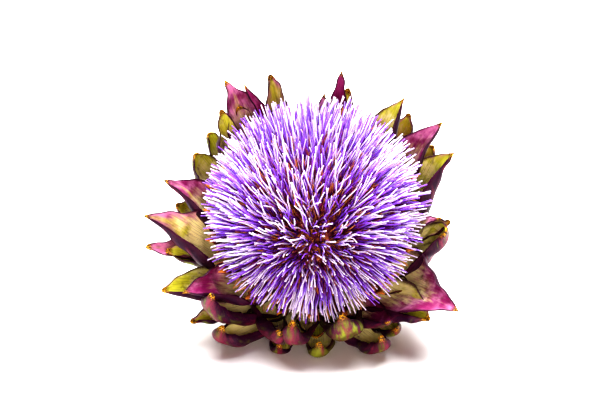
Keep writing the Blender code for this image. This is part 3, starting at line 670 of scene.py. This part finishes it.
def beside(courses, start, ends_at, spread, turns):
    """Courses that follow part of each given one and stand off it, one for each turn."""
    start = np.full(len(courses), start)
    end = ends_at[0] + (ends_at[1] - ends_at[0]) * np.sqrt(np.arange(len(courses)) / len(courses))
    root, bend, tip = (courses[:, i] for i in range(3))
    found = []
    for turn in turns:
        ends = []
        for along, off in zip((start, (start + end) / 2, end), spread):
            at, ahead = quadratic(root, bend, tip, along[:, None])
            one = unit(np.cross(ahead, ANY_WAY))
            two = np.cross(ahead, one)
            angle = np.radians(turn + np.arange(len(root)) * BESIDE_TURN)[:, None]
            ends.append(at + off * (one * np.cos(angle) + two * np.sin(angle)))
        middle = 2 * ends[1] - (ends[0] + ends[2]) / 2
        found.append(np.stack([ends[0], middle, ends[2]], axis=1))
    return np.concatenate(found)


def chaff_courses():
    """Bristles round the foot of the florets, which lean out under them."""
    draw = random.Random(SEED + 9)
    courses = []
    for i in range(CHAFF_COUNT):
        clock = 360 * i / CHAFF_COUNT + draw.uniform(-CHAFF_CLOCK_PLAY, CHAFF_CLOCK_PLAY)
        root = on_dome(draw.uniform(*CHAFF_SHARES), clock) * np.array(CHAFF_SUNK)
        lean = draw.uniform(*CHAFF_LEANS)
        reach = draw.uniform(*CHAFF_REACHES)
        bend = root + leaning(clock, lean - CHAFF_BOW) * reach * CHAFF_BEND
        tip = root + leaning(clock + draw.uniform(-CHAFF_TWIST, CHAFF_TWIST), lean) * reach
        courses.append((root, bend, tip))
    return np.array(courses)


# ================================================================ nodes
class Signal:
    """A socket that carries a number. Arithmetic on it adds Math nodes to its tree."""

    def __init__(self, tree, socket):
        self.tree, self.socket = tree, socket

    def math(self, operation, *others):
        inputs = dict(enumerate([self, *others]))
        return self.tree.add("ShaderNodeMath", {"operation": operation}, inputs)

    def __add__(self, other):
        return self.math("ADD", other)

    def __mul__(self, other):
        return self.math("MULTIPLY", other)

    def __sub__(self, other):
        return self.math("SUBTRACT", other)

    def __rsub__(self, other):
        return (self * -1) + other

    def __abs__(self):
        return self.math("ABSOLUTE")

    __radd__, __rmul__ = __add__, __mul__


class Tree:
    """A node tree under construction."""

    def __init__(self, tree):
        self.tree = tree

    def add(self, kind, settings=None, sockets=None, out=0):
        """A new node with these settings, then these values or links at its sockets. Returns an output."""
        node = self.tree.nodes.new(kind)
        for name, value in (settings or {}).items():
            setattr(node, name, value)
        for name, value in (sockets or {}).items():
            if isinstance(value, Signal):
                self.tree.links.new(value.socket, node.inputs[name])
            else:
                node.inputs[name].default_value = value
        return Signal(self, node.outputs[out])


class Finish(Tree):
    """A material under construction, on one Principled shader."""

    def __init__(self, name, roughness, **constants):
        self.material = bpy.data.materials.new(name)
        self.material.use_nodes = True
        super().__init__(self.material.node_tree)
        self.shader = self.tree.nodes["Principled BSDF"]
        self.set("Roughness", roughness)
        for socket, value in constants.items():
            self.set(socket.replace("_", " "), value)

    def set(self, socket, value):
        if isinstance(value, Signal):
            self.tree.links.new(value.socket, self.shader.inputs[socket])
        else:
            self.shader.inputs[socket].default_value = value

    def read(self, name):
        return self.add("ShaderNodeAttribute", {"attribute_name": name}, out="Fac")

    def joined(self, x, y, z=0.0):
        return self.add("ShaderNodeCombineXYZ", None, {"X": x, "Y": y, "Z": z})

    def noise(self, where, scale, detail=3.0, roughness=0.55):
        sockets = {"Vector": where, "Scale": scale, "Detail": detail, "Roughness": roughness}
        return self.add("ShaderNodeTexNoise", None, sockets)

    def step(self, value, low, high):
        """0 below the low value and 1 above the high one, with a smooth change between."""
        settings = {"interpolation_type": "SMOOTHSTEP"}
        return self.add("ShaderNodeMapRange", settings, {"Value": value, "From Min": low, "From Max": high})

    def mix(self, share, a, b):
        """From colour a to colour b by a share."""
        a, b = ((*c, 1) if isinstance(c, tuple) else c for c in (a, b))
        return self.add("ShaderNodeMix", {"data_type": "RGBA"}, {0: share, 6: a, 7: b}, out=2)

    def bump(self, height, distance, strength=1.0):
        sockets = {"Height": height, "Distance": distance, "Strength": strength}
        self.set("Normal", self.add("ShaderNodeBump", None, sockets))


# ================================================================ finishes
DEEP_PLUM, ROSY_PLUM = (0.026, 0.002, 0.022), (0.230, 0.024, 0.062)
OLIVE, LEAF_GREEN = (0.085, 0.070, 0.008), (0.270, 0.310, 0.028)
CREAM, YELLOW_GREEN = (0.980, 0.920, 0.450), (0.660, 0.680, 0.065)
MAGENTA, LILAC = (0.260, 0.015, 0.115), (0.640, 0.230, 0.430)
MAGENTA_EDGE, BARK = (0.045, 0.001, 0.022), (0.090, 0.040, 0.010)
BROWN, ORANGE, YELLOW = (0.040, 0.008, 0.003), (0.500, 0.130, 0.008), (0.850, 0.480, 0.020)
MAROON, DRY_RED, DRY_ORANGE = (0.050, 0.004, 0.010), (0.200, 0.022, 0.035), (0.700, 0.240, 0.030)
STEM_GREEN, STEM_PALE, STEM_BLUSH = (0.085, 0.110, 0.020), (0.280, 0.310, 0.075), (0.150, 0.040, 0.060)
PITH_WALLS, PITH = (0.300, 0.230, 0.090), (0.640, 0.560, 0.290)
PITH_RING, CUT_RIM = (0.240, 0.260, 0.060), (0.180, 0.110, 0.040)
# the bed's dark wine red is partly painted shade deep in the brush
BED_WINE_AND_SHADE, BED_ORANGE = (0.180, 0.012, 0.050), (0.550, 0.180, 0.030)


def sway(value, share):
    """How far a value is from one half, which is a noise's mean, times a share."""
    return (value - 0.5) * share


def bract_outside(skin, streaks, blotches, grain, across):
    """Plum ridges over olive, more of them where the bract is a plum one. The plum is painted lighter along
    the midrib and deeper towards the margins, a painted highlight on the bract's rounded back.
    """
    green = skin.mix(skin.step(blotches, 0.35, 0.65), OLIVE, LEAF_GREEN)
    # lighter rosy plum along the midrib and deep plum at the margins: a painted highlight over the bract's
    # own streaks
    streaks_and_midrib_highlight = streaks + sway(grain, 0.4) + (0.40 - across) * 0.35
    purple = skin.mix(skin.step(streaks_and_midrib_highlight, 0.34, 0.80), DEEP_PLUM, ROSY_PLUM)
    cover = skin.read("plum") * 0.80 + sway(streaks, 2.3) + sway(blotches, 0.9)
    cover = cover + skin.read("along") * 0.10 + across * 0.45
    return skin.mix(skin.step(cover, 0.38, 0.96), green, purple)


def bract_inside(skin, streaks, blotches, veins, across, stains):
    """Cream at the foot and green above it, blushed lilac and magenta where the bract is a rosy one."""
    along, rose = skin.read("along"), skin.read("rose")
    greener = skin.step(along + sway(blotches, 0.9) + sway(streaks, 0.5), 0.52, 0.86)
    pale = skin.mix(greener, CREAM, YELLOW_GREEN)
    redder = skin.step(rose + sway(blotches, 1.2) + sway(streaks, 0.5), 0.45, 0.95)
    blush = rose * 1.2 + (along - 0.62) * 1.1 + sway(across, 0.45) + sway(streaks, 0.9)
    inside = skin.mix(skin.step(blush, 0.42, 0.95), pale, skin.mix(redder, LILAC, MAGENTA))
    inside = skin.mix(skin.step(veins, 0.50, 0.68) * 0.36, inside, skin.mix(rose, OLIVE, MAGENTA_EDGE))
    return skin.mix(skin.step(stains, 0.57, 0.70) * 0.55, inside, BARK)


def bract_tip(skin, streaks, grain, from_tip):
    """Brown scars, then orange and yellow at the very end."""
    tip = skin.mix(skin.step(grain + sway(streaks, 0.6), 0.50, 0.62), BROWN, ORANGE)
    return skin.mix(skin.step(grain, 0.50, 0.60) * (1 - skin.step(from_tip, 1.4, 3.4)), tip, YELLOW)


def bract_skin():
    """Waxy skin, darker at the margins, with its inside, outside and tip as above."""
    skin = Finish("bract skin", 0.45, Specular_IOR_Level=0.25)
    across, from_tip = abs(skin.read("across")), skin.read("from_tip")
    u, v = skin.read("flat_across"), skin.read("flat_along")
    streaks = skin.noise(skin.joined(u * 5.0, v * 0.9), 1.0, 4.0)
    veins = skin.noise(skin.joined(u * 22.0, v * 0.7, 3.1), 1.0, 2.0)
    blotches = skin.noise(skin.joined(u, v, 7.7), 1.3, 3.0)
    grain = skin.noise(skin.joined(u, v, 1.3), 24.0, 2.0)
    stains = skin.noise(skin.joined(u * 2.2, v * 1.1, 5.5), 1.0, 4.0, 0.65)
    outside = bract_outside(skin, streaks, blotches, grain, across)
    inside = bract_inside(skin, streaks, blotches, veins, across, stains)
    colour = skin.mix(skin.step(skin.read("inner"), 0.30, 0.70), outside, inside)
    colour = skin.mix(skin.step(across + sway(grain, 0.14), 0.80, 0.95) * 0.92, colour, MAGENTA_EDGE)
    scarred = 1 - skin.step(from_tip + sway(grain, 3.0) + sway(streaks, 4.0), 1.6, 4.6)
    skin.set("Base Color", skin.mix(scarred, colour, bract_tip(skin, streaks, grain, from_tip)))
    skin.set("Roughness", 0.38 + grain * 0.22)
    skin.bump(veins * 0.5 + streaks * 0.35 + grain * 0.25, 0.0006, 0.7)
    return skin.material


def papery_skin():
    """Thin dry skin, dark maroon with orange tips."""
    skin = Finish("papery skin", 0.55)
    u, v = skin.read("flat_across"), skin.read("flat_along")
    veins = skin.noise(skin.joined(u * 26.0, v * 1.2), 1.0, 2.0)
    body = skin.mix(skin.step(veins, 0.35, 0.65), MAROON, DRY_RED)
    end = 1 - skin.step(skin.read("from_tip") + sway(veins, 4.0), 2.0, 6.5)
    skin.set("Base Color", skin.mix(end, body, DRY_ORANGE))
    skin.bump(veins, 0.0004, 0.6)
    return skin.material


def stem_skin():
    """Ribbed green stem and heart, with a pale cut end that has browned at its rim."""
    skin = Finish("stem skin", 0.50)
    cut, height, turn = skin.read("cut"), skin.read("height"), skin.read("round")
    streaks = skin.noise(skin.joined(turn * 60.0, height * 0.8), 1.0, 3.0)
    grain = skin.noise(skin.joined(turn * 20.0, height * 6.0, 2.0), 1.0, 3.0)
    green = skin.mix(skin.step(streaks, 0.35, 0.65), STEM_GREEN, STEM_PALE)
    green = skin.mix(skin.step(grain, 0.55, 0.70) * 0.6, green, STEM_BLUSH)
    where = skin.add("ShaderNodeTexCoord", out="Object")
    cells = skin.add("ShaderNodeTexVoronoi", None, {"Vector": where, "Scale": 900.0})
    pith = skin.mix(skin.step(cells, 0.05, 0.40), PITH_WALLS, PITH)
    ring = skin.step(cut, 0.10, 0.18) * (1 - skin.step(cut, 0.26, 0.34))
    pith = skin.mix(ring * 0.5, pith, PITH_RING)
    pith = skin.mix(1 - skin.step(cut, 0.02, 0.12), pith, CUT_RIM)
    skin.set("Base Color", skin.mix(skin.step(cut, 0.01, 0.03), green, pith))
    skin.bump(streaks * 0.6 + grain * 0.4, 0.0005, 0.6)
    return skin.material


def bed_skin():
    """Wine red with orange specks: the lower parts of the florets' own colour, with their darkness partly
    painted shade deep in the brush.
    """
    bed = Finish("floret bed", 0.8)
    specks = bed.noise(bed.add("ShaderNodeTexCoord", out="Object"), 700.0, 2.0)
    bed.set("Base Color", bed.mix(bed.step(specks, 0.45, 0.65), BED_WINE_AND_SHADE, BED_ORANGE))
    return bed.material


def strand_skin(name, root, middle, tip):
    """A finish for fine strands, whose colour runs from their roots to their tips. The dark roots are painted
    shade; the pale tips are the strands' own colour and also a painted highlight, since a random share of
    strands is pale further down.
    """
    strand = Finish(name, 0.45)
    along, shade = strand.read("along"), strand.read("shade")
    # dark roots: painted shade where the strands lie deep in the brush
    body = strand.mix(strand.step(along + sway(shade, 0.3), 0.56, 0.82), root, middle)
    # pale tips, reaching further down on some strands at random: the strands' own colour, and a painted
    # highlight standing in for their lit sides
    tip_colour_and_painted_highlight = strand.step(along + sway(shade, 0.7), 0.72, 1.03)
    strand.set("Base Color", strand.mix(tip_colour_and_painted_highlight, body, tip))
    return strand.material


# ================================================================ strands along courses
class Growth(Tree):
    """A geometry tree under construction, with its named inputs."""

    def __init__(self, name, start, inputs, end):
        super().__init__(bpy.data.node_groups.new(name, "GeometryNodeTree"))
        face = self.tree.interface
        face.new_socket(start, in_out="INPUT", socket_type="NodeSocketGeometry")
        for title, (kind, value) in inputs.items():
            socket = face.new_socket(title, in_out="INPUT", socket_type=kind)
            if value is not None:
                socket.default_value = value
        face.new_socket(end, in_out="OUTPUT", socket_type="NodeSocketGeometry")
        self.given = self.tree.nodes.new("NodeGroupInput")

    def asked(self, name):
        return Signal(self, self.given.outputs[name])

    def read(self, name, kind="FLOAT"):
        return self.add("GeometryNodeInputNamedAttribute", {"data_type": kind}, {"Name": name})

    def store(self, geometry, name, value, domain):
        settings = {"data_type": "FLOAT", "domain": domain}
        sockets = {"Geometry": geometry, "Name": name, "Value": value}
        return self.add("GeometryNodeStoreNamedAttribute", settings, sockets)

    def vector(self, operation, *sockets):
        return self.add("ShaderNodeVectorMath", {"operation": operation}, dict(enumerate(sockets)))

    def scaled(self, vector, size):
        return self.add("ShaderNodeVectorMath", {"operation": "SCALE"}, {"Vector": vector, "Scale": size})

    def shape(self, kind, geometry, **sockets):
        """A node that takes a geometry and gives one."""
        sockets = {name.replace("_", " "): value for name, value in sockets.items()}
        return self.add("GeometryNode" + kind, None, {0: geometry, **sockets})

    def give(self, name, geometry):
        """Ends the tree with this geometry as its output."""
        out = self.tree.nodes.new("NodeGroupOutput")
        self.tree.links.new(geometry.socket, out.inputs[name])
        return self.tree


STRAND_INPUTS = {
    "Sides": ("NodeSocketInt", 5),
    "Steps": ("NodeSocketInt", 8),
    "Root Radius": ("NodeSocketFloat", 0.0004),
    "Middle Radius": ("NodeSocketFloat", 0.0005),
    "Tip Radius": ("NodeSocketFloat", 0.0003),
    "Wobble": ("NodeSocketFloat", 0.0005),
    "Wobble Scale": ("NodeSocketFloat", 100.0),
    "Seed": ("NodeSocketInt", SEED),
    "Finish": ("NodeSocketMaterial", None),
}


def grown_course(tree, along, left):
    """Each point's place on its course, which wobbles more towards its tip."""
    course = tree.scaled(tree.read("root", "FLOAT_VECTOR"), left * left)
    course = tree.vector("ADD", course, tree.scaled(tree.read("bend", "FLOAT_VECTOR"), left * along * 2))
    course = tree.vector("ADD", course, tree.scaled(tree.read("tip", "FLOAT_VECTOR"), along * along))
    sockets = {"Vector": course, "Scale": tree.asked("Wobble Scale")}
    drift = tree.add("ShaderNodeTexNoise", None, sockets, out=1)
    drift = tree.vector("SUBTRACT", drift, (0.5, 0.5, 0.5))
    return tree.vector("ADD", course, tree.scaled(drift, tree.asked("Wobble") * along * 2))


def strand_tree():
    """Geometry nodes: a tapered tube along each point's own course, which its attributes give."""
    tree = Growth("strands along courses", "Courses", STRAND_INPUTS, "Strands")
    line = tree.add("GeometryNodeCurvePrimitiveLine", None, {"End": (0, 0, 1)})
    line = tree.shape("ResampleCurve", line, Count=tree.asked("Steps"))
    placed = tree.shape("InstanceOnPoints", tree.asked("Courses"), Instance=line)
    # a random value for each strand: its play in thickness, and how far down its finish is painted pale as a
    # painted highlight
    shade = tree.add("FunctionNodeRandomValue", {"data_type": "FLOAT"}, {"Seed": tree.asked("Seed")}, out=1)
    curves = tree.shape("RealizeInstances", tree.store(placed, "shade", shade, "INSTANCE"))
    factor = tree.add("GeometryNodeSplineParameter", out="Factor")
    curves = tree.store(curves, "along", factor, "POINT")
    along = tree.read("along")
    left = 1 - along
    curves = tree.shape("SetPosition", curves, Position=grown_course(tree, along, left))
    radius = tree.asked("Root Radius") * left + tree.asked("Middle Radius") * along * 2 * left
    radius = (radius + tree.asked("Tip Radius") * along * along) * (0.85 + tree.read("shade") * 0.3)
    sockets = {"Resolution": tree.asked("Sides"), "Radius": 1.0}
    ring = tree.add("GeometryNodeCurvePrimitiveCircle", None, sockets)
    tubes = tree.shape("CurveToMesh", curves, Profile_Curve=ring, Scale=radius, Fill_Caps=True)
    tubes = tree.shape("RealizeInstances", tree.shape("SetShadeSmooth", tubes))
    return tree.give("Strands", tree.shape("SetMaterial", tubes, Material=tree.asked("Finish")))


def make_strands(name, tree, courses):
    """A plain mesh of one kind of strand along these courses."""
    kind = STRANDS[name]
    ends = {mark: laid_down(courses[:, i]) for i, mark in enumerate(("root", "bend", "tip"))}
    mesh = bpy.data.meshes.new(name + "_courses")
    mesh.from_pydata(ends["root"].tolist(), [], [])
    for mark, values in ends.items():
        mesh.attributes.new(mark, "FLOAT_VECTOR", "POINT").data.foreach_set("vector", values.ravel())
    seeds = new_object(name + "_courses", mesh)
    grown = seeds.modifiers.new("strands", "NODES")
    grown.node_group = tree
    inputs = {**kind.inputs, "Finish": strand_skin(kind.finish, *kind.colours)}
    for item in tree.interface.items_tree:
        if item.item_type == "SOCKET" and item.in_out == "INPUT" and item.name in inputs:
            grown[item.identifier] = inputs[item.name]
    depsgraph = bpy.context.evaluated_depsgraph_get()
    made = bpy.data.meshes.new_from_object(seeds.evaluated_get(depsgraph))
    seeds.modifiers.clear()
    bpy.data.objects.remove(seeds)
    for mark in ends:
        if mark in made.attributes:
            made.attributes.remove(made.attributes[mark])
    made.name = name
    return new_object(name, made)


def make_bed():
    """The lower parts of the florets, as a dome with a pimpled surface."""
    ball = bmesh.new()
    bmesh.ops.create_icosphere(ball, subdivisions=6, radius=1)
    mesh = bpy.data.meshes.new("floret_bed")
    ball.to_mesh(mesh)
    ball.free()
    ways = np.array([vert.co for vert in mesh.vertices])
    draw = random.Random(SEED + 4)
    first = ripples(draw, ways[:, 0], ways[:, 1], PIMPLE_SIZES[0])
    pimples = first * ripples(draw, ways[:, 1], ways[:, 2], PIMPLE_SIZES[1])
    size = np.array([DOME_RADIUS, DOME_RADIUS, DOME_RISE]) - BED_INSIDE
    points = ways * size * (1 + PIMPLE * pimples)[:, None] + (0, 0, DOME_CENTRE)
    points[:, 2] = np.maximum(points[:, 2], HEART_TOP + BED_FOOT)
    mesh.vertices.foreach_set("co", laid_down(points).ravel())
    mesh.shade_smooth()
    mesh.materials.append(bed_skin())
    return new_object("floret_bed", mesh)


# ================================================================ the stage
def make_floor():
    grid = bmesh.new()
    bmesh.ops.create_grid(grid, x_segments=1, y_segments=1, size=FLOOR_SIZE)
    mesh = bpy.data.meshes.new("floor")
    grid.to_mesh(mesh)
    grid.free()
    mesh.materials.append(Finish("floor white", 0.9, Base_Color=(*FLOOR_WHITE, 1)).material)
    return new_object("floor", mesh)


def make_light(light):
    lamp = bpy.data.lights.new(light.name, "AREA")
    lamp.energy, lamp.size, lamp.color = light.power, light.size, light.colour
    made = new_object(light.name, lamp)
    made.location = light.at
    made.rotation_euler = (Vector(light.towards) - Vector(light.at)).to_track_quat("-Z", "Y").to_euler()


def make_camera():
    """The camera looks into the flower from the front."""
    aim = Vector(laid_down(np.array([[0.0, 0.0, CAMERA_AIM]]))[0])
    rise = math.radians(CAMERA_RISE)
    back = Vector((0, -math.cos(rise), math.sin(rise)))
    lens = bpy.data.cameras.new("camera")
    lens.lens, lens.sensor_width = LENS, FILM_WIDTH
    lens.shift_x, lens.shift_y = FRAME_SHIFT
    camera = new_object("camera", lens)
    camera.location = aim + CAMERA_AWAY * back
    camera.rotation_euler = (-back).to_track_quat("-Z", "Y").to_euler()
    bpy.context.scene.camera = camera


def make_world():
    world = bpy.data.worlds.new("studio")
    world.use_nodes = True
    backdrop = world.node_tree.nodes["Background"]
    backdrop.inputs["Color"].default_value = (*WORLD_COLOUR, 1)
    backdrop.inputs["Strength"].default_value = WORLD_STRENGTH
    bpy.context.scene.world = world


def make_stage():
    make_floor()
    for light in LIGHTS:
        make_light(light)
    make_camera()
    make_world()
    bpy.context.scene.view_settings.view_transform = "Standard"
    bpy.context.scene.view_settings.look = "High Contrast"


# ================================================================ all together
def make_bracts_on_heart():
    """The pieces of the green part, and among them those that the florets have to clear."""
    draw = random.Random(SEED)
    short, papery = short_bracts(draw)
    upper = make_bracts("upper_bracts", UPPER_BRACTS, LARGE_MESH, draw)
    outer = make_bracts("outer_bracts", OUTER_BRACTS, LARGE_MESH, draw)
    lower = make_bracts("short_bracts", short, SHORT_MESH, draw)
    thin = make_bracts("papery_bracts", papery, PAPERY_MESH, draw)
    heart = make_heart()
    skin = bract_skin()
    for piece in (upper, outer, lower):
        piece.data.materials.append(skin)
    thin.data.materials.append(papery_skin())
    heart.data.materials.append(stem_skin())
    return [heart, upper, outer, lower, thin], [upper, outer]


def make_florets(barriers):
    """The pieces of the flower's brush."""
    florets = floret_courses(barriers)
    courses = {
        "floret_styles": florets,
        "floret_lobes": beside(florets, *LOBES_BESIDE),
        "floret_anthers": beside(florets, *ANTHERS_BESIDE),
        "floret_chaff": chaff_courses(),
    }
    tree = strand_tree()
    strands = [make_strands(name, tree, each) for name, each in courses.items()]
    return [*strands, make_bed()]


def main():
    green, barriers = make_bracts_on_heart()
    for piece in green:
        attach(piece, "root")
        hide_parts("bracts_on_heart")
    for piece in make_florets(barriers):
        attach(piece, "root")
        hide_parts("florets")
    make_stage()


main()
